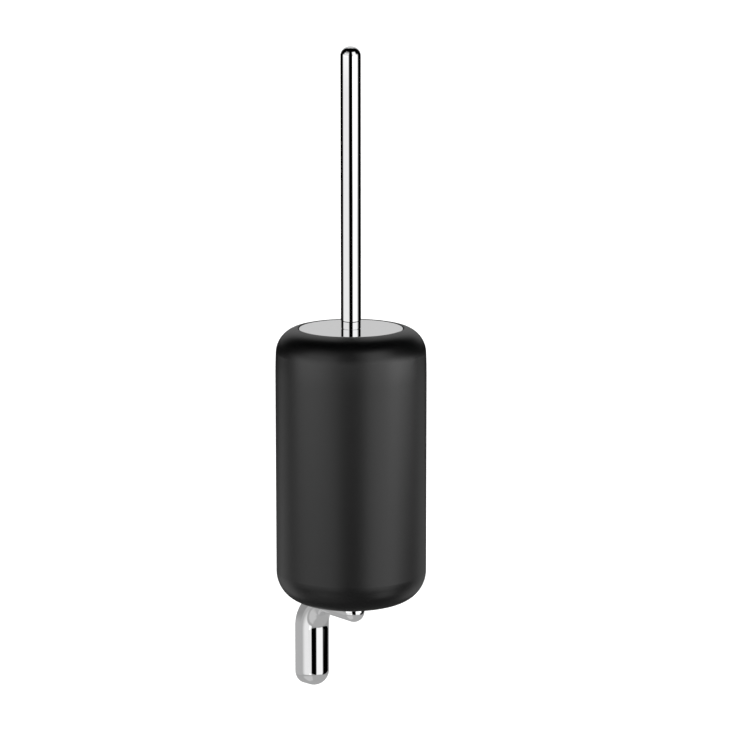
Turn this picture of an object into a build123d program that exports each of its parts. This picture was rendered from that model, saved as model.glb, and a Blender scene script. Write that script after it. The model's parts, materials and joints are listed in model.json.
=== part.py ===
from build123d import *
import os
from math import cos, radians, sin, sqrt

# Wall-mounted toilet brush holder: a black steel jar on a chromed wall bracket, a lift-out liner,
# and a brush whose handle carries the lid that closes the jar.
# Frame: origin on the wall, between the two wall screws. +X right, +Y into the wall, +Z up.
# Everything round is drawn about the jar's axis with z = 0 at the jar's underside, and then moved.

# ---------------------------------------------------------------- driving dimensions, mm
SEAT_HEIGHT = 44.8        # jar's underside above the wall screws' centre
WALL_TO_AXIS = 53.5       # wall face to the jar's axis

# jar: spun steel shell with a turned-down mouth
JAR_RADIUS = 45.1
JAR_HEIGHT = 166.4
JAR_WALL = 1.5
JAR_BOTTOM_CORNER = 18.3
JAR_TOP_CORNER = 15.3
SHOULDER_TURN = 2.5       # degrees that the wall leans in before the top corner
SHOULDER_LENGTH = 14.0    # height of that gentle curve
MOUTH_RADIUS = 31.45
MOUTH_EDGE = 0.6          # rounding of the mouth's edge
LIP_DEPTH = 10.5          # how far the turned-down mouth reaches below the top

# lid and seal
LID_RADIUS = 31.05
LID_TOP = 166.0
LID_DISC = 2.5
LID_EDGE = 0.6
SEAL_THICKNESS = 1.2
SEAL_OUTER = 30.6
GROOVE_RADIUS = 24.0      # bottom of the lid's groove, where the seal turns
GROOVE_LIP_RADIUS = 25.2
GROOVE_LIP = 1.0
RUNNING_GAP = 0.05

# liner
LINER_WALL = 1.5
LINER_TOP_RADIUS = 29.4
LINER_FLOOR_RADIUS = 28.2
LINER_BOTTOM = 14.0
LINER_CORNER = 6.0
LINER_FLANGE_RADIUS = 31.1
NECK_BORE = 29.7
NECK_RING_DEPTH = 8.0
NECK_BEAD_RADIUS = 32.4

# handle, stem and lid fastening
HANDLE_RADIUS = 6.0
HANDLE_WALL = 1.5
HANDLE_TOP = 333.0
HANDLE_TIP = 5.4          # rounding of the top end
HANDLE_FOOT = 0.3         # chamfer where the tube stands on the lid
PLUG_LENGTH = 20.0
STEM_RADIUS = 4.0
M6_RADIUS = 3.0
THREAD_GAP = 0.05
LID_WASHER = 1.2
SPRING_WASHER = 1.6
NUT_HEIGHT = 5.0
NUT_ACROSS_FLATS = 10.0

# brush head
HUB_RADIUS = 7.5
HUB_COLLAR_RADIUS = 5.5
HUB_BOTTOM = 34.0
HUB_SHOULDER = 96.0
HUB_TOP = 108.0
HUB_THREAD = 18.0
BRISTLE_RADIUS = 24.5
BRISTLE_BOTTOM = 20.0
BRISTLE_SPLIT = 36.0      # tip tufts below, side tufts above
BRISTLE_TOP = 94.0

# jar fastening
GASKET = 0.8
GASKET_RADIUS = 5.4
INNER_GASKET = 1.0
CLAMP_WASHER = 1.5
CLAMP_RADIUS = 12.0
M5_RADIUS = 2.5
SCREW_HEAD_RADIUS = 4.6
SCREW_HEAD = 3.2
SCREW_HEX = 3.0
SCREW_REACH = 9.0         # screw's length below the jar's underside

# wall bracket
PAD_RADIUS = 9.5
PAD_DEPTH = 16.4
PAD_BOTTOM_CENTRE = -11.6
PAD_FRONT_RISE = 0.8      # the rounded foot is this much higher at the front
PAD_BACK_EDGE = 0.4       # rounding where the pad's sides meet the wall
BEND_RADIUS = 28.0
ARM_GAP = 0.5             # arm's top below the jar's underside
ARM_START_RADIUS = 7.4
ARM_END_RADIUS = 6.5
ARM_PAST_AXIS = 3.0       # arm's end centre in front of the jar's axis
BOSS_RADIUS = 5.5
BEND_SECTIONS = 9

# concealed wall fixing
PLATE_WIDTH = 12.0
PLATE_THICKNESS = 5.0
PLATE_BOTTOM = -13.0
PLATE_TOP = 12.0          # at the wall face; the hooked edge rises towards the front
HOOK_SLOPE = 0.37
POCKET_SIDE_GAP = 0.2
POCKET_DEPTH = 5.4
POCKET_BOTTOM = -15.2
HOLE_RADIUS = 2.25
HOLE_SPACING = 14.0
COUNTERSINK_RADIUS = 4.2
GRUB_RADIUS = 2.0
GRUB_FROM_WALL = 3.4
GRUB_BOTTOM = -19.6
GRUB_HEX = 2.0

# derived levels, from the jar's underside
LID_BOTTOM = LID_TOP - LID_DISC
FLANGE_TOP = LID_BOTTOM - SEAL_THICKNESS
LEDGE = FLANGE_TOP - LINER_WALL
LID_UNDERSIDE = FLANGE_TOP - RUNNING_GAP - GROOVE_LIP
WASHER_BOTTOM = LID_UNDERSIDE - LID_WASHER
SPRING_BOTTOM = WASHER_BOTTOM - SPRING_WASHER
NUT_BOTTOM = SPRING_BOTTOM - NUT_HEIGHT
ARM_END_HEIGHT = -ARM_GAP - ARM_END_RADIUS
CLAMP_TOP = JAR_WALL + INNER_GASKET + CLAMP_WASHER

UP = (Align.CENTER, Align.CENTER, Align.MIN)
AT_JAR = Pos(0, -WALL_TO_AXIS, SEAT_HEIGHT)


# ---------------------------------------------------------------- helpers
def disc(radius, low, high):
    """Upright cylinder between two heights."""
    return Pos(0, 0, low) * Cylinder(radius, high - low, align=UP)


def ring(outer, inner, low, high):
    """Upright cylinder with a through bore."""
    return disc(outer, low, high) - disc(inner, low - 1, high + 1)


def cone(low_radius, high_radius, low, high):
    """Upright truncated cone between two heights."""
    return Pos(0, 0, low) * Cone(low_radius, high_radius, high - low, align=UP)


def hexagon(across_flats, low, high):
    """Upright hexagonal prism between two heights."""
    outline = RegularPolygon(across_flats / 2, 6, major_radius=False)
    return Pos(0, 0, low) * extrude(outline, high - low)


def spun(outline):
    """Solid of revolution about Z from a closed line drawn as (radius, height)."""
    return revolve(make_face(Plane.XZ * outline), Axis.Z, 360)


def circle_edge(solid, height, radius):
    """The circular edge nearest to this height and radius."""
    def miss(edge):
        box = edge.bounding_box()
        return abs(box.max.X - radius) + abs(box.center().Z - height)
    rounds = solid.edges().filter_by(GeomType.CIRCLE)
    return min(rounds, key=miss)


def corner_arc(centre_radius, centre_height, radius, start, end):
    """Arc of a profile; angles in degrees from the outward radial direction."""
    return CenterArc((centre_radius, centre_height), radius, start, end - start)


# ---------------------------------------------------------------- jar
def jar_body(inset):
    """Jar's rounded cylinder, inset by a distance."""
    radius = JAR_RADIUS - inset
    bottom = JAR_BOTTOM_CORNER - inset
    top = JAR_TOP_CORNER - inset
    turn = radians(SHOULDER_TURN)
    curve = SHOULDER_LENGTH / sin(turn)
    low_centre = JAR_RADIUS - JAR_BOTTOM_CORNER
    high_centre = JAR_RADIUS - curve * (1 - cos(turn)) - JAR_TOP_CORNER * cos(turn)
    high_level = JAR_HEIGHT - JAR_TOP_CORNER
    shoulder = high_level + JAR_TOP_CORNER * sin(turn) - SHOULDER_LENGTH
    outline = Line((0, inset), (low_centre, inset))
    outline += corner_arc(low_centre, JAR_BOTTOM_CORNER, bottom, -90, 0)
    outline += Line((radius, JAR_BOTTOM_CORNER), (radius, shoulder))
    outline += corner_arc(JAR_RADIUS - curve, shoulder, curve - inset, 0, SHOULDER_TURN)
    outline += corner_arc(high_centre, high_level, top, SHOULDER_TURN, 90)
    outline += Line((high_centre, high_level + top), (0, high_level + top))
    outline += Line((0, high_level + top), (0, inset))
    return spun(outline)


def jar():
    shell = jar_body(0) - jar_body(JAR_WALL)
    lip = disc(MOUTH_RADIUS + JAR_WALL, JAR_HEIGHT - LIP_DEPTH, JAR_HEIGHT)
    solid = shell + (lip & jar_body(0))
    solid -= disc(MOUTH_RADIUS, JAR_HEIGHT - 2 * LIP_DEPTH, JAR_HEIGHT + 1)
    solid -= disc(M5_RADIUS + 0.25, -1, 2 * JAR_WALL)
    return fillet(circle_edge(solid, JAR_HEIGHT, MOUTH_RADIUS), MOUTH_EDGE)


def neck_ring():
    """Snap-in ring in the mouth: its top is the ledge that the liner hangs on."""
    lip_end = JAR_HEIGHT - LIP_DEPTH
    low = LEDGE - NECK_RING_DEPTH
    solid = disc(MOUTH_RADIUS - RUNNING_GAP, low, LEDGE)
    solid += cone(MOUTH_RADIUS - 1, NECK_BEAD_RADIUS, low, lip_end)
    return solid - disc(NECK_BORE, low - 1, LEDGE + 1)


def seat_gasket():
    return ring(GASKET_RADIUS, M5_RADIUS + 0.25, -GASKET, 0)


def inner_gasket():
    return ring(CLAMP_RADIUS, M5_RADIUS + 0.25, JAR_WALL, JAR_WALL + INNER_GASKET)


def clamp_washer():
    solid = ring(CLAMP_RADIUS, M5_RADIUS + 0.25, JAR_WALL + INNER_GASKET, CLAMP_TOP)
    return fillet(circle_edge(solid, CLAMP_TOP, CLAMP_RADIUS), 0.5)


def jar_screw():
    """M5 socket screw that clamps the jar's floor to the bracket's arm."""
    head = disc(SCREW_HEAD_RADIUS, CLAMP_TOP, CLAMP_TOP + SCREW_HEAD)
    head = fillet(circle_edge(head, CLAMP_TOP + SCREW_HEAD, SCREW_HEAD_RADIUS), 0.8)
    head -= hexagon(SCREW_HEX, CLAMP_TOP + SCREW_HEAD / 3, CLAMP_TOP + SCREW_HEAD + 1)
    return head + disc(M5_RADIUS - THREAD_GAP, -SCREW_REACH, CLAMP_TOP)


# ---------------------------------------------------------------- liner and seal
def liner_cup(inset):
    """Tapered cup with a rounded floor, inset by a distance."""
    low = LINER_BOTTOM + inset
    solid = cone(LINER_FLOOR_RADIUS - inset, LINER_TOP_RADIUS - inset, low, FLANGE_TOP)
    return fillet(circle_edge(solid, low, LINER_FLOOR_RADIUS - inset), LINER_CORNER - inset)


def liner():
    solid = liner_cup(0) + disc(LINER_FLANGE_RADIUS, LEDGE, FLANGE_TOP)
    solid -= liner_cup(LINER_WALL)
    return fillet(circle_edge(solid, FLANGE_TOP, LINER_FLANGE_RADIUS), 0.4)


def seal_ring():
    """Soft ring held in the lid's groove; it seals the lid to the liner's flange."""
    return ring(SEAL_OUTER, GROOVE_RADIUS + RUNNING_GAP, FLANGE_TOP, LID_BOTTOM)


# ---------------------------------------------------------------- brush
def lid():
    solid = disc(LID_RADIUS, LID_BOTTOM, LID_TOP)
    solid = fillet(circle_edge(solid, LID_TOP, LID_RADIUS), LID_EDGE)
    solid += disc(GROOVE_RADIUS, LID_UNDERSIDE, LID_BOTTOM)
    solid += disc(GROOVE_LIP_RADIUS, LID_UNDERSIDE, LID_UNDERSIDE + GROOVE_LIP)
    return solid - disc(M6_RADIUS + THREAD_GAP, LID_UNDERSIDE - 1, LID_TOP + 1)


def rod(inset, low):
    """Round bar with a domed top, inset by a distance."""
    radius = HANDLE_RADIUS - inset
    top = HANDLE_TOP - inset
    return fillet(circle_edge(disc(radius, low, top), top, radius), HANDLE_TIP - inset)


def handle_tube():
    solid = rod(0, LID_TOP)
    solid = chamfer(circle_edge(solid, LID_TOP, HANDLE_RADIUS), HANDLE_FOOT)
    return solid - rod(HANDLE_WALL, LID_TOP - 1)


def handle_plug():
    """Threaded insert pressed into the tube's lower end."""
    radius = HANDLE_RADIUS - HANDLE_WALL - 0.01
    return ring(radius, M6_RADIUS + THREAD_GAP, LID_TOP, LID_TOP + PLUG_LENGTH)


def stem():
    """Bar between the lid and the brush head, threaded M6 at both ends."""
    shoulder = NUT_BOTTOM - 0.2
    solid = disc(STEM_RADIUS, HUB_TOP, shoulder)
    solid += disc(M6_RADIUS, shoulder, LID_TOP + PLUG_LENGTH - 4)
    return solid + disc(M6_RADIUS, HUB_TOP - HUB_THREAD, HUB_TOP)


def lid_washer():
    return ring(6.2, M6_RADIUS + 0.2, WASHER_BOTTOM, LID_UNDERSIDE)


def spring_washer():
    """Split lock washer."""
    solid = ring(5.6, M6_RADIUS + 0.2, SPRING_BOTTOM, WASHER_BOTTOM)
    slit = Pos(4.4, 0, SPRING_BOTTOM + SPRING_WASHER / 2) * Box(4, 0.7, 2 * SPRING_WASHER)
    return solid - slit


def lock_nut():
    solid = hexagon(NUT_ACROSS_FLATS, NUT_BOTTOM, SPRING_BOTTOM)
    corner = NUT_ACROSS_FLATS / 2 + 0.35
    solid &= cone(corner, corner + 3, NUT_BOTTOM, SPRING_BOTTOM)
    return solid - disc(M6_RADIUS + THREAD_GAP, NUT_BOTTOM - 1, SPRING_BOTTOM + 1)


def hub_blank():
    solid = disc(HUB_RADIUS, HUB_BOTTOM, HUB_SHOULDER)
    solid = fillet(circle_edge(solid, HUB_BOTTOM, HUB_RADIUS), 2)
    return solid + cone(HUB_RADIUS, HUB_COLLAR_RADIUS, HUB_SHOULDER, HUB_TOP)


def brush_hub():
    """Moulded core that holds the tufts and screws onto the stem."""
    return hub_blank() - disc(M6_RADIUS + THREAD_GAP, HUB_TOP - HUB_THREAD - 2, HUB_TOP + 1)


def side_bristles():
    solid = disc(BRISTLE_RADIUS, BRISTLE_SPLIT, BRISTLE_TOP)
    solid = fillet(circle_edge(solid, BRISTLE_TOP, BRISTLE_RADIUS), 4)
    return solid - disc(HUB_RADIUS, BRISTLE_SPLIT - 1, BRISTLE_TOP + 1)


def tip_bristles():
    solid = disc(BRISTLE_RADIUS, BRISTLE_BOTTOM, BRISTLE_SPLIT)
    solid = fillet(circle_edge(solid, BRISTLE_BOTTOM, BRISTLE_RADIUS), 12)
    return solid - hub_blank()


# ---------------------------------------------------------------- wall bracket
def blend(start, end, share):
    return start + (end - start) * share


def bend_section(turn):
    """Section of the bend after a turn in degrees: flat-backed at the wall, round at the arm."""
    step = turn / 90
    share = step * step * (3 - 2 * step)
    outer = blend(BEND_RADIUS, BEND_RADIUS - ARM_GAP, share)
    depth = blend(PAD_DEPTH, 2 * ARM_START_RADIUS, share)
    half = blend(PAD_RADIUS, ARM_START_RADIUS, share)
    side = outer - depth + half
    centre = outer - ARM_START_RADIUS

    def between(flat_x, flat_y, degrees):
        """Point between the flat-backed outline and the round one."""
        round_x = ARM_START_RADIUS * cos(radians(degrees))
        round_y = centre + ARM_START_RADIUS * sin(radians(degrees))
        return blend(flat_x, round_x, share), blend(flat_y, round_y, share)

    def mirrored(point):
        return -point[0], point[1]

    cut = PAD_BACK_EDGE * (1 - sqrt(0.5))
    widest = (half, side)
    flank = between(PAD_RADIUS, (outer - PAD_BACK_EDGE + side) / 2, 15)
    corner_low = between(PAD_RADIUS, outer - PAD_BACK_EDGE, 35)
    corner = between(PAD_RADIUS - cut, outer - cut, 45)
    corner_high = between(PAD_RADIUS - PAD_BACK_EDGE, outer, 55)
    front = ThreePointArc(widest, (0, outer - depth), mirrored(widest))
    left_corner = ThreePointArc(mirrored(corner_low), mirrored(corner), mirrored(corner_high))
    right_corner = ThreePointArc(corner_high, corner, corner_low)
    if share == 0:
        left = Line(mirrored(widest), mirrored(corner_low))
        back = Line(mirrored(corner_high), corner_high)
        right = Line(corner_low, widest)
    else:
        left = ThreePointArc(mirrored(widest), mirrored(flank), mirrored(corner_low))
        back = ThreePointArc(mirrored(corner_high), (0, outer), corner_high)
        right = ThreePointArc(corner_low, flank, widest)
    outline = front + left + left_corner + back + right_corner + right
    angle = radians(turn)
    pivot = (0, -BEND_RADIUS, SEAT_HEIGHT - BEND_RADIUS)
    plane = Plane(origin=pivot, x_dir=(1, 0, 0), z_dir=(0, -sin(angle), cos(angle)))
    return plane * make_face(outline)


def pad_section(y, foot_centre):
    """Upright section of the pad's flat-sided part: straight sides and a round foot."""
    top = SEAT_HEIGHT - BEND_RADIUS
    outline = Line((PAD_RADIUS, foot_centre), (PAD_RADIUS, top))
    outline += Line((PAD_RADIUS, top), (-PAD_RADIUS, top))
    outline += Line((-PAD_RADIUS, top), (-PAD_RADIUS, foot_centre))
    foot = (0, foot_centre - PAD_RADIUS)
    outline += ThreePointArc((-PAD_RADIUS, foot_centre), foot, (PAD_RADIUS, foot_centre))
    return Plane(origin=(0, y, 0), x_dir=(1, 0, 0), z_dir=(0, -1, 0)) * make_face(outline)


def pad():
    """Flat-backed capsule that stands on the wall."""
    top = SEAT_HEIGHT - BEND_RADIUS
    axis_y = PAD_RADIUS - PAD_DEPTH
    front_centre = PAD_BOTTOM_CENTRE + PAD_FRONT_RISE
    body = loft([pad_section(0, PAD_BOTTOM_CENTRE), pad_section(axis_y, front_centre)])
    outline = [edge for edge in body.faces().sort_by(Axis.Y)[-1].edges() if edge.center().Z < top - 1]
    body = fillet(outline, PAD_BACK_EDGE)
    front = Pos(0, axis_y, 0) * disc(PAD_RADIUS, front_centre, top)
    front += Pos(0, axis_y, front_centre) * Sphere(PAD_RADIUS)
    wall_side = Pos(0, axis_y + PAD_RADIUS, 0) * Box(4 * PAD_RADIUS, 2 * PAD_RADIUS, 4 * BEND_RADIUS)
    return body + (front - wall_side)


def arm():
    """Tapered arm with a domed end and a flat boss under the jar's axis."""
    start = (0, -BEND_RADIUS, SEAT_HEIGHT - ARM_GAP - ARM_START_RADIUS)
    end = (0, -WALL_TO_AXIS - ARM_PAST_AXIS, SEAT_HEIGHT + ARM_END_HEIGHT)
    start_face = Plane(origin=start, x_dir=(1, 0, 0), z_dir=(0, -1, 0)) * Circle(ARM_START_RADIUS)
    end_face = Plane(origin=end, x_dir=(1, 0, 0), z_dir=(0, -1, 0)) * Circle(ARM_END_RADIUS)
    boss = AT_JAR * disc(BOSS_RADIUS, ARM_END_HEIGHT, -GASKET)
    return loft([start_face, end_face]) + Pos(*end) * Sphere(ARM_END_RADIUS) + boss


def fixing_slab(side_gap, front, bottom):
    """Block with a hooked top edge; the plate and its pocket share this form."""
    half = PLATE_WIDTH / 2 + side_gap
    outline = Polyline(
        (0, bottom), (-front, bottom), (-front, PLATE_TOP + HOOK_SLOPE * front), (0, PLATE_TOP), close=True
    )
    return Pos(-half, 0, 0) * extrude(Plane.YZ * make_face(outline), 2 * half)


def wall_bracket():
    bend = loft([bend_section(90 * i / (BEND_SECTIONS - 1)) for i in range(BEND_SECTIONS)])
    solid = pad() + bend + arm()
    solid -= fixing_slab(POCKET_SIDE_GAP, POCKET_DEPTH, POCKET_BOTTOM)
    solid -= AT_JAR * disc(BOSS_RADIUS, -GASKET, 1)
    solid -= AT_JAR * disc(M5_RADIUS, -SCREW_REACH - 1.5, 1)
    foot = PAD_BOTTOM_CENTRE - PAD_RADIUS
    return solid - Pos(0, -GRUB_FROM_WALL, 0) * disc(GRUB_RADIUS + THREAD_GAP, foot - 1, POCKET_BOTTOM + 1)


def fixing_plate():
    """Plate screwed to the wall; the bracket hooks over it."""
    solid = fixing_slab(0, PLATE_THICKNESS, PLATE_BOTTOM)
    for height in (-HOLE_SPACING / 2, HOLE_SPACING / 2):
        at_hole = Pos(0, 0, height) * Rot(90, 0, 0)
        solid -= at_hole * disc(HOLE_RADIUS, -1, PLATE_THICKNESS + 1)
        sink = COUNTERSINK_RADIUS - HOLE_RADIUS
        solid -= at_hole * cone(HOLE_RADIUS, COUNTERSINK_RADIUS, PLATE_THICKNESS - sink, PLATE_THICKNESS)
    return solid


def grub_screw():
    """M4 socket grub screw that locks the bracket onto the plate from below."""
    solid = disc(GRUB_RADIUS, GRUB_BOTTOM, PLATE_BOTTOM)
    solid -= hexagon(GRUB_HEX, GRUB_BOTTOM - 1, GRUB_BOTTOM + 2)
    return Pos(0, -GRUB_FROM_WALL, 0) * solid


# ---------------------------------------------------------------- assembly
ROUND_PARTS = (
    jar, neck_ring, seat_gasket, inner_gasket, clamp_washer, jar_screw,
    liner, seal_ring,
    lid, handle_tube, handle_plug, stem, lid_washer, spring_washer, lock_nut,
    brush_hub, side_bristles, tip_bristles,
)
WALL_PARTS = (wall_bracket, fixing_plate, grub_screw)

os.makedirs("parts", exist_ok=True)
for make in ROUND_PARTS:
    export_step(AT_JAR * make(), f"parts/{make.__name__}.step")
for make in WALL_PARTS:
    export_step(make(), f"parts/{make.__name__}.step")
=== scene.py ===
import json
import math
import random

import bmesh
import bpy
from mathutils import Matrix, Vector


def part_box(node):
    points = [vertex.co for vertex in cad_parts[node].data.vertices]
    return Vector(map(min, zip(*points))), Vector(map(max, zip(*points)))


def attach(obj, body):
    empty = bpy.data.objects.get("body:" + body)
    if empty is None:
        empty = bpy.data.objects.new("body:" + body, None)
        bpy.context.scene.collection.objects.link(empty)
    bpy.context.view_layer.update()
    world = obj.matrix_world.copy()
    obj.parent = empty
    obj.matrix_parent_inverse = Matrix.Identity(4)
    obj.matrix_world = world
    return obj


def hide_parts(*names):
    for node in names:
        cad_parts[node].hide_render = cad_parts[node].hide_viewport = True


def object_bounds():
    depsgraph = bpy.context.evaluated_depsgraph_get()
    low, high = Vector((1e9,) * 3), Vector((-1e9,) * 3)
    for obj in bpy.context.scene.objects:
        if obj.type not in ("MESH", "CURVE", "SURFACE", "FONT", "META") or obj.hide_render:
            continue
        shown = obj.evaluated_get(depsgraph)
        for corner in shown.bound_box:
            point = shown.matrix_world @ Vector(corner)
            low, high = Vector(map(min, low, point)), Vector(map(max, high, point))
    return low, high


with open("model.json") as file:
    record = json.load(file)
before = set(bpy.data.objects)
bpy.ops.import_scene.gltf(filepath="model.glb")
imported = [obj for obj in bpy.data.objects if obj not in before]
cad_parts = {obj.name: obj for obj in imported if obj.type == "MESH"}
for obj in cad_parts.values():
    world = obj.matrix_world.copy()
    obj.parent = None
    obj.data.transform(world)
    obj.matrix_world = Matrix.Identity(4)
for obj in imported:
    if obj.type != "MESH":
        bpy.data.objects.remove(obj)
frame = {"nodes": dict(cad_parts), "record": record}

CAD_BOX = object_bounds()
MM = 0.001

JAR_LOW, JAR_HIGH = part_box("jar")
AXIS = Vector(((JAR_LOW.x + JAR_HIGH.x) / 2, (JAR_LOW.y + JAR_HIGH.y) / 2, 0))
SEAT = JAR_LOW.z                        # the jar's underside

# ---------------------------------------------------------------- camera
VIEW_AZIMUTH = math.radians(-30)        # from the wall's normal, towards -X
CAMERA_DISTANCE = 1.8352                # level distance from the jar's axis
CAMERA_RISE = 0.4833                    # above the jar's underside
CAMERA_PITCH = math.radians(10.668)
CAMERA_YAW = math.radians(0.446)
SENSOR = 36
LENS = 150.456
CLIP_END = 60

TO_CAMERA = Vector((math.sin(VIEW_AZIMUTH), -math.cos(VIEW_AZIMUTH), 0))
TO_RIGHT = Vector((math.cos(VIEW_AZIMUTH), math.sin(VIEW_AZIMUTH), 0))


def add_camera():
    data = bpy.data.cameras.new("camera")
    data.lens = LENS
    data.sensor_width = SENSOR
    data.clip_end = CLIP_END
    camera = bpy.data.objects.new("camera", data)
    bpy.context.scene.collection.objects.link(camera)
    level = TO_RIGHT * math.sin(CAMERA_YAW) - TO_CAMERA * math.cos(CAMERA_YAW)
    look = level * math.cos(CAMERA_PITCH) - Vector((0, 0, math.sin(CAMERA_PITCH)))
    camera.location = AXIS + TO_CAMERA * CAMERA_DISTANCE + Vector((0, 0, SEAT + CAMERA_RISE))
    camera.rotation_euler = look.to_track_quat("-Z", "Y").to_euler()
    bpy.context.scene.camera = camera


# ---------------------------------------------------------------- node graphs
class Graph:
    """Short helpers for building a shader's node graph."""

    def __init__(self, tree):
        self.tree = tree

    def put(self, socket, value):
        if isinstance(value, bpy.types.NodeSocket):
            self.tree.links.new(value, socket)
        else:
            socket.default_value = value

    def node(self, kind, settings=None, **inputs):
        made = self.tree.nodes.new(kind)
        for name, value in (settings or {}).items():
            setattr(made, name, value)
        for name, value in inputs.items():
            self.put(made.inputs[name.replace("_", " ")], value)
        return made

    def math(self, operation, a, b=0.0):
        made = self.tree.nodes.new("ShaderNodeMath")
        made.operation = operation
        self.put(made.inputs[0], a)
        self.put(made.inputs[1], b)
        return made.outputs[0]

    def ramp(self, value, low, high, start=0.0, end=1.0):
        """Smooth step from start to end as value goes from low to high."""
        made = self.node(
            "ShaderNodeMapRange", {"interpolation_type": "SMOOTHSTEP"},
            Value=value, From_Min=low, From_Max=high, To_Min=start, To_Max=end,
        )
        return made.outputs[0]

    def rise(self, value, place, soft):
        """0 below a place, 1 above it, with a soft edge."""
        return self.ramp(value, place - soft, place + soft)

    def fall(self, value, place, soft):
        """1 below a place, 0 above it, with a soft edge."""
        return self.ramp(value, place - soft, place + soft, 1.0, 0.0)

    def mix_colour(self, share, first, second):
        """Colour that goes from the first to the second as share goes from 0 to 1."""
        made = self.node("ShaderNodeMix", {"data_type": "RGBA"})
        self.put(made.inputs["Factor"], share)
        for socket, colour in ((made.inputs[6], first), (made.inputs[7], second)):
            self.put(socket, colour if isinstance(colour, bpy.types.NodeSocket) else (*colour, 1))
        return made.outputs[2]

    def dot(self, vector, axis):
        made = self.tree.nodes.new("ShaderNodeVectorMath")
        made.operation = "DOT_PRODUCT"
        self.put(made.inputs[0], vector)
        self.put(made.inputs[1], axis)
        return made.outputs["Value"]


# ---------------------------------------------------------------- studio
# Softboxes around the object, in degrees. Azimuths run from the camera's side, positive to the right,
# and heights from the horizon. Each edge is (place, softness), in the order left, right, low, high.
# The last number is the brightness. Where softboxes overlap, the brightest counts.
PANELS = (
    # on the left: at eye level, above it, low and outer, low and inner, a bright band, the top
    ((-95, 7), (-21, 6), (-13, 3), (14, 6), 0.90),
    ((-78, 8), (-21, 6), (8, 6), (32, 5), 0.88),
    ((-88, 27), (-19, 3), (-28, 3), (-8, 3), 0.57),
    ((-38, 6), (-17, 3), (-28, 3), (-8, 3), 0.86),
    ((-92, 5), (-21, 6), (-6.5, 3), (6, 4), 1.20),
    ((-72, 8), (-21, 6), (20, 8), (48, 8), 0.42),
    # on the right: at eye level, above it, low, a bright band
    ((21, 5), (85, 16), (-13, 3), (14, 6), 1.10),
    ((21, 5), (66, 10), (8, 6), (47, 6), 1.15),
    ((21, 4), (72, 6), (-27, 3), (-8, 3), 1.00),
    ((21, 5), (82, 6), (-8, 3), (5, 4), 1.80),
    # behind: the white that the lid shows, in two halves, and a dim strip low on each side
    ((-240, 3), (-150, 10), (3, 5), (67, 5), 0.60),
    ((150, 10), (240, 3), (3, 5), (67, 5), 0.60),
    ((-240, 3), (-95, 8), (-30, 3), (-12, 2), 0.15),
    ((145, 8), (240, 3), (-30, 3), (-12, 2), 0.17),
    # a glow from the floor on the left
    ((-110, 25), (-8, 16), (-78, 12), (-35, 5), 0.26),
)
GROUND_GLOW = 0.10                      # from every side, below GROUND_EDGE
GROUND_EDGE = (-29, 4)
BACKDROP = 1.05                         # what the camera sees behind the object

# Round lamps for one part each: the part, azimuth, height and half angle in degrees, and brightness.
DISCS = {
    "low": ("wall_bracket", -130, -75, 76, 0.30),
    "rim_right": ("jar", 132, -26, 20, 0.38),
    "rim_left": ("jar", -126, -26, 20, 0.46),
    "low_right": ("jar", 62, -42, 13, 0.75),
    "low_left": ("jar", -50, -42, 13, 0.30),
}

# Strips of light for the jar alone: azimuth, height, half width and half height in degrees, brightness.
STRIPS = {
    "strip_middle": (-3, -2, 14, 4, 1.15),
    "strip_left": (-64, -5, 26, 4, 1.0),
    "strip_right": (84, -5, 25, 4, 2.3),
}
STRIP_DISTANCE = 3.0
OVERHEAD_ANGLE = 120                    # the lamp that whitens the floor
OVERHEAD_STRENGTH = 4.0


def towards(azimuth, height):
    """Unit vector at an azimuth from the camera's side and a height above the horizon."""
    level = TO_CAMERA * math.cos(azimuth) + TO_RIGHT * math.sin(azimuth)
    return level * math.cos(height) + Vector((0, 0, math.sin(height)))


def add_world():
    world = bpy.data.worlds.new("studio")
    world.use_nodes = True
    bpy.context.scene.world = world
    world.node_tree.nodes.clear()
    g = Graph(world.node_tree)
    way = g.node("ShaderNodeTexCoord").outputs["Generated"]
    across = g.dot(way, TO_RIGHT)
    toward = g.dot(way, TO_CAMERA)
    azimuth = g.math("DEGREES", g.math("ARCTAN2", across, toward))
    height = g.math("DEGREES", g.math("ARCSINE", g.dot(way, (0, 0, 1))))
    edge, soft = GROUND_EDGE
    glow = g.ramp(height, edge - soft, edge + soft, GROUND_GLOW, 0.0)
    for left, right, low, high, brightness in PANELS:
        wide = g.math("MULTIPLY", g.rise(azimuth, *left), g.fall(azimuth, *right))
        tall = g.math("MULTIPLY", g.rise(height, *low), g.fall(height, *high))
        panel = g.math("MULTIPLY", g.math("MULTIPLY", wide, tall), brightness)
        glow = g.math("MAXIMUM", glow, panel)
    lit = g.node("ShaderNodeBackground", Color=(1, 1, 1, 1), Strength=glow)
    seen = g.node("ShaderNodeBackground", Color=(1, 1, 1, 1), Strength=BACKDROP)
    path = g.node("ShaderNodeLightPath")
    mix = g.tree.nodes.new("ShaderNodeMixShader")
    g.put(mix.inputs[0], path.outputs["Is Camera Ray"])
    g.put(mix.inputs[1], lit.outputs[0])
    g.put(mix.inputs[2], seen.outputs[0])
    output = g.tree.nodes.new("ShaderNodeOutputWorld")
    g.put(output.inputs["Surface"], mix.outputs[0])


def add_lamp(name, kind, away, receiver):
    """Lamp that lights one object only; it stands on the side of the unit vector away."""
    data = bpy.data.lights.new(name, kind)
    lamp = bpy.data.objects.new(name, data)
    lamp.rotation_euler = away.to_track_quat("Z", "Y").to_euler()
    lamp.visible_camera = False
    bpy.context.scene.collection.objects.link(lamp)
    receivers = bpy.data.collections.new(name + "_receiver")
    receivers.objects.link(receiver)
    lamp.light_linking.receiver_collection = receivers
    return lamp


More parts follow.
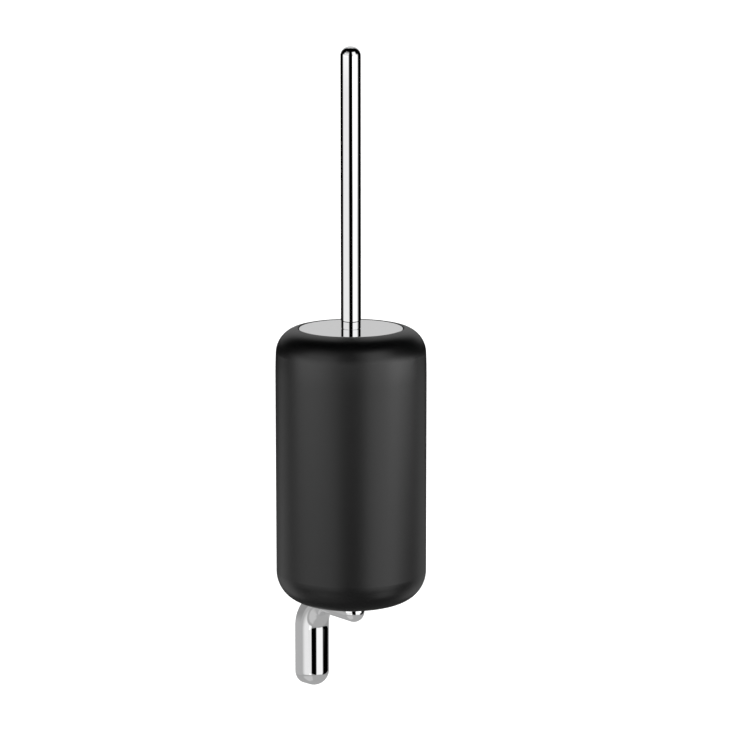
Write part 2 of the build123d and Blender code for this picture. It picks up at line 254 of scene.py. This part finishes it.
def add_lamps(floor):
    overhead = add_lamp("overhead", "SUN", Vector((0, 0, 1)), floor)
    overhead.data.energy = OVERHEAD_STRENGTH
    overhead.data.angle = math.radians(OVERHEAD_ANGLE)

    # The energies below give each lamp's face the brightness stated for it.
    for name, (part, azimuth, height, half, brightness) in DISCS.items():
        away = towards(math.radians(azimuth), math.radians(height))
        disc = add_lamp(name, "SUN", away, frame["nodes"][part])
        disc.data.angle = 2 * math.radians(half)
        disc.data.energy = brightness * math.pi * math.sin(math.radians(half)) ** 2

    for name, (azimuth, height, half_wide, half_tall, brightness) in STRIPS.items():
        away = towards(math.radians(azimuth), math.radians(height))
        strip = add_lamp(name, "AREA", away, frame["nodes"]["jar"])
        strip.location = AXIS + Vector((0, 0, (JAR_LOW.z + JAR_HIGH.z) / 2)) + away * STRIP_DISTANCE
        wide = 2 * STRIP_DISTANCE * math.tan(math.radians(half_wide))
        tall = 2 * STRIP_DISTANCE * math.tan(math.radians(half_tall))
        strip.data.shape = "RECTANGLE"
        strip.data.size = wide
        strip.data.size_y = tall
        strip.data.energy = brightness * math.pi * wide * tall


FLOOR_DROP = 0.25                       # below the object, which hangs on a wall
FLOOR_SIZE = 60
FLOOR_GREY = 0.9
FLOOR_ROUGHNESS = 0.9


def add_floor():
    bpy.ops.mesh.primitive_plane_add(size=FLOOR_SIZE, location=(0, 0, CAD_BOX[0][2] - FLOOR_DROP))
    floor = bpy.context.object
    floor.name = "floor"
    floor.visible_glossy = False
    floor.visible_shadow = False
    mat = bpy.data.materials.new("floor")
    mat.use_nodes = True
    g = Graph(mat.node_tree)
    shader = g.tree.nodes["Principled BSDF"]
    g.put(shader.inputs["Base Color"], (FLOOR_GREY, FLOOR_GREY, FLOOR_GREY, 1))
    g.put(shader.inputs["Roughness"], FLOOR_ROUGHNESS)
    floor.data.materials.append(mat)
    return floor


# ---------------------------------------------------------------- materials
BROAD_SPAN = (0.35, 0.65)               # part of each noise's range that the patterns use
FINE_SPAN = (0.3, 0.7)
SCRATCH_CELLS = 6                       # scratch cells are this many times coarser than the grain
SCRATCH_WIDTH = 0.04                    # share of a cell


def surface(name, colour, roughness, metallic=0.0, ior=1.5, stretch=(1, 1, 1), grain=900.0,
            tint=None, mottle=90.0, speckle=0.1, rough_vary=0.04, relief=0.0, relief_scale=2500.0,
            wear=0.0, around=0.0):
    """Principled material in the object's own space.

    The colour drifts between colour and tint in broad patches of scale mottle, and the share speckle of
    its brightness varies in a fine grain. Roughness varies by rough_vary with the same grain, and fine
    scratches of strength wear add to it. Relief is the depth of the surface texture in millimetres.
    Stretch draws the fine pattern out along an axis, and around spreads the highlights sideways about
    the upright axis.
    """
    mat = bpy.data.materials.new(name)
    mat.use_nodes = True
    g = Graph(mat.node_tree)
    shader = g.tree.nodes["Principled BSDF"]
    place = g.node("ShaderNodeTexCoord").outputs["Object"]
    drawn = g.node("ShaderNodeMapping", Vector=place, Scale=stretch).outputs[0]
    broad = g.node("ShaderNodeTexNoise", Vector=place, Scale=mottle, Detail=3.0).outputs["Fac"]
    fine = g.node("ShaderNodeTexNoise", Vector=drawn, Scale=grain, Detail=4.0).outputs["Fac"]

    patches = g.mix_colour(g.ramp(broad, *BROAD_SPAN), colour, tint or colour)
    shade = g.ramp(fine, *FINE_SPAN, 1 - speckle, 1.0)
    toned = g.mix_colour(shade, (0, 0, 0), patches)
    g.put(shader.inputs["Base Color"], toned)

    rough = g.ramp(fine, *FINE_SPAN, roughness - rough_vary, roughness + rough_vary)
    if wear:
        cells = g.node(
            "ShaderNodeTexVoronoi", {"feature": "DISTANCE_TO_EDGE"}, Vector=drawn,
            Scale=grain / SCRATCH_CELLS,
        )
        line = g.ramp(cells.outputs["Distance"], 0.0, SCRATCH_WIDTH, wear, 0.0)
        rough = g.math("ADD", rough, g.math("MULTIPLY", line, broad))
    g.put(shader.inputs["Roughness"], rough)
    g.put(shader.inputs["Metallic"], metallic)
    g.put(shader.inputs["IOR"], ior)
    if around:
        g.put(shader.inputs["Anisotropic"], around)
        tangent = g.node("ShaderNodeTangent", {"direction_type": "RADIAL", "axis": "Z"})
        g.put(shader.inputs["Tangent"], tangent.outputs[0])
    if relief:
        texture = g.node("ShaderNodeTexNoise", Vector=drawn, Scale=relief_scale, Detail=2.0)
        bump = g.node(
            "ShaderNodeBump", Strength=1.0, Distance=relief * MM, Height=texture.outputs["Fac"],
        )
        g.put(shader.inputs["Normal"], bump.outputs[0])
    return mat


def finishes():
    """The material of each slot in the record."""
    return {
        "black_powder_coat": surface(
            "black_powder_coat", (0.0012, 0.0012, 0.0013), 0.355, ior=1.6, grain=1400, around=0.4,
            tint=(0.0018, 0.0018, 0.0019), rough_vary=0.012, relief=0.001, relief_scale=900,
        ),
        "chrome": surface(
            "polished_chrome", (0.926, 0.926, 0.929), 0.016, 1.0, grain=400, tint=(0.917, 0.920, 0.926),
            mottle=25, speckle=0.015, rough_vary=0.003, wear=0.008,
        ),
        "zinc_steel": surface(
            "zinc_plate", (0.62, 0.64, 0.68), 0.33, 1.0, grain=1800, tint=(0.66, 0.64, 0.58),
            mottle=260, rough_vary=0.07, relief=0.01, relief_scale=3000, wear=0.1,
        ),
        "black_steel": surface(
            "black_oxide", (0.035, 0.035, 0.04), 0.38, 0.7, grain=1600, tint=(0.055, 0.045, 0.04),
            mottle=400, rough_vary=0.06, relief=0.01, relief_scale=3500, wear=0.12,
        ),
        "stainless": surface(
            "drawn_stainless", (0.60, 0.59, 0.58), 0.24, 1.0, stretch=(1, 1, 0.04), grain=2600,
            tint=(0.64, 0.63, 0.63), mottle=120, rough_vary=0.06, relief=0.006, relief_scale=4200,
        ),
        "brass": surface(
            "turned_brass", (0.78, 0.57, 0.22), 0.24, 1.0, stretch=(0.05, 0.05, 1), grain=2800,
            tint=(0.70, 0.50, 0.20), mottle=200, rough_vary=0.06, relief=0.01, relief_scale=3600,
        ),
        "black_plastic": surface(
            "black_plastic", (0.012, 0.012, 0.013), 0.42, grain=1500, tint=(0.016, 0.016, 0.017),
            mottle=150, rough_vary=0.05, relief=0.02, relief_scale=2200,
        ),
        "liner_plastic": surface(
            "liner_plastic", (0.048, 0.048, 0.051), 0.38, grain=1300, tint=(0.056, 0.056, 0.058),
            mottle=70, rough_vary=0.05, relief=0.015, relief_scale=1800, wear=0.06,
        ),
        "black_rubber": surface(
            "black_rubber", (0.012, 0.012, 0.012), 0.68, grain=1700, tint=(0.020, 0.019, 0.018),
            mottle=300, rough_vary=0.08, relief=0.03, relief_scale=2600,
        ),
        "seal_silicone": surface(
            "seal_silicone", (0.028, 0.028, 0.030), 0.5, grain=1200, tint=(0.036, 0.036, 0.037),
            mottle=160, rough_vary=0.06, relief=0.01, relief_scale=2000,
        ),
        "bristle_nylon": surface(
            "bristle_nylon", (0.012, 0.012, 0.013), 0.30, ior=1.53, grain=2400,
            tint=(0.022, 0.022, 0.023), mottle=500, rough_vary=0.08,
        ),
    }


# ---------------------------------------------------------------- bristles
FILAMENT_RADIUS = 0.2 * MM
FILAMENT_SIDES = 3
FILAMENT_STEPS = 4
FILAMENTS = 20                          # in each tuft
TUFT_RADIUS = 1.15 * MM                 # at the hub
TUFT_SPREAD = 2.6 * MM                  # added at the tips
SIDE_ROWS = 14
SIDE_TUFTS = 16                         # around the hub
TIP_RINGS = ((8, 3), (30, 7), (52, 11), (74, 15))   # angle from the axis, and tufts in the ring
TIP_DEPTH = 2 * MM                      # the tip's holes start this far inside the hub's round end
SIDE_ROUNDING = 4 * MM                  # of the plain solids' ends
TIP_ROUNDING = 12 * MM
EMBED = 0.6 * MM                        # how far the filaments reach into the hub
LEAN_LENGTH = 17 * MM                   # over which a tuft gains TUFT_SPREAD
TURN_JITTER = 0.2
REACH_STEP = 0.25 * MM
SHORTEST = 2 * MM
TRIM = (0.955, 0.995)                   # least and greatest share of the full length
TAPER = 0.25
WAVE = 0.25 * MM
WAVE_TURN = 7                           # radians of the wave along a filament


def envelope(node, rounding):
    """Test for the space inside a tuft solid: its outer radius, its ends and its one rounded end."""
    low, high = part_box(node)
    outer = (high.x - low.x) / 2
    end = high.z if node == "side_bristles" else low.z

    def inside(point):
        radius = math.hypot(point.x - AXIS.x, point.y - AXIS.y)
        if radius > outer or not low.z <= point.z <= high.z:
            return False
        depth = rounding - abs(point.z - end)
        side = radius - (outer - rounding)
        return depth <= 0 or side <= 0 or math.hypot(depth, side) <= rounding

    return inside


def filament(mesh, start, way, inside, rng):
    """One tapered, slightly wavy filament that ends where it leaves the tuft's space."""
    reach = 0.0
    while inside(start + way * (reach + EMBED + FILAMENT_RADIUS)) or reach < SHORTEST:
        reach += REACH_STEP
    reach = (reach + EMBED) * rng.uniform(*TRIM)
    side = way.orthogonal().normalized()
    up = way.cross(side)
    phase = rng.uniform(0, 2 * math.pi)
    rings = []
    for step in range(FILAMENT_STEPS + 1):
        share = step / FILAMENT_STEPS
        sway = WAVE * math.sin(phase + WAVE_TURN * share) * share * (1.2 - share)
        centre = start + way * reach * share + (side * math.cos(phase) + up * math.sin(phase)) * sway
        radius = FILAMENT_RADIUS * (1 - TAPER * share)
        turns = (2 * math.pi * i / FILAMENT_SIDES + phase for i in range(FILAMENT_SIDES))
        rings.append([
            mesh.verts.new(centre + (side * math.cos(turn) + up * math.sin(turn)) * radius)
            for turn in turns
        ])
    for lower, upper in zip(rings, rings[1:]):
        for i in range(FILAMENT_SIDES):
            j = (i + 1) % FILAMENT_SIDES
            mesh.faces.new((lower[i], lower[j], upper[j], upper[i]))
    mesh.faces.new(rings[-1])
    mesh.faces.new(reversed(rings[0]))


def tuft(mesh, root, way, inside, rng):
    """A bundle of filaments that fans out from its hole in the hub."""
    side = way.orthogonal().normalized()
    up = way.cross(side)
    golden = math.pi * (3 - math.sqrt(5))
    for i in range(FILAMENTS):
        radius = math.sqrt((i + 0.5) / FILAMENTS)
        turn = i * golden + rng.uniform(-TURN_JITTER, TURN_JITTER)
        offset = (side * math.cos(turn) + up * math.sin(turn)) * radius
        start = root + offset * TUFT_RADIUS
        lean = (way * LEAN_LENGTH + offset * TUFT_SPREAD).normalized()
        filament(mesh, start, lean, inside, rng)


def tufts(node, rounding, roots):
    """Replaces one plain bristle solid by its tufts."""
    rng = random.Random(node)
    mesh = bmesh.new()
    inside = envelope(node, rounding)
    for root, way in roots:
        tuft(mesh, root, way, inside, rng)
    data = bpy.data.meshes.new(node + "_tufts")
    mesh.to_mesh(data)
    mesh.free()
    for face in data.polygons:
        face.use_smooth = True
    made = bpy.data.objects.new(node + "_tufts", data)
    bpy.context.scene.collection.objects.link(made)
    data.materials.append(FINISHES["bristle_nylon"])
    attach(made, "brush")
    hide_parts(node)


def side_roots():
    """Rows of holes around the hub, each row turned by half a step from the last."""
    low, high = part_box("side_bristles")
    hub_low, hub_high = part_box("brush_hub")
    hub = (hub_high.x - hub_low.x) / 2
    margin = TUFT_RADIUS + FILAMENT_RADIUS
    for row in range(SIDE_ROWS):
        share = row / (SIDE_ROWS - 1)
        level = low.z + margin + (high.z - low.z - 2 * margin) * share
        for i in range(SIDE_TUFTS):
            turn = 2 * math.pi * (i + row / 2) / SIDE_TUFTS
            out = Vector((math.cos(turn), math.sin(turn), 0))
            yield AXIS + out * (hub - EMBED) + Vector((0, 0, level)), out


def tip_roots():
    """Rings of holes on the hub's lower end, fanned from straight down to nearly level."""
    hub_low, hub_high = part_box("brush_hub")
    hub = (hub_high.x - hub_low.x) / 2
    for ring, (angle, count) in enumerate(TIP_RINGS):
        lean = math.radians(angle)
        for i in range(count):
            turn = 2 * math.pi * (i + ring / 2) / count
            out = Vector((math.cos(turn), math.sin(turn), 0))
            way = out * math.sin(lean) - Vector((0, 0, math.cos(lean)))
            at = out * (hub - TIP_DEPTH) * math.sin(lean)
            level = hub_low.z + EMBED + TIP_DEPTH * (1 - math.cos(lean))
            yield AXIS + at + Vector((0, 0, level)), way


def add_bristles():
    tufts("side_bristles", SIDE_ROUNDING, side_roots())
    tufts("tip_bristles", TIP_ROUNDING, tip_roots())


def finish_cad_nodes():
    for part in frame["record"]["subparts"]:
        node = frame["nodes"][part["node"]]
        for slot in node.material_slots:
            slot.material = FINISHES[part["material_slot"]]


FINISHES = finishes()
add_camera()
add_world()
add_lamps(add_floor())
finish_cad_nodes()
add_bristles()
bpy.context.scene.view_settings.view_transform = "Standard"
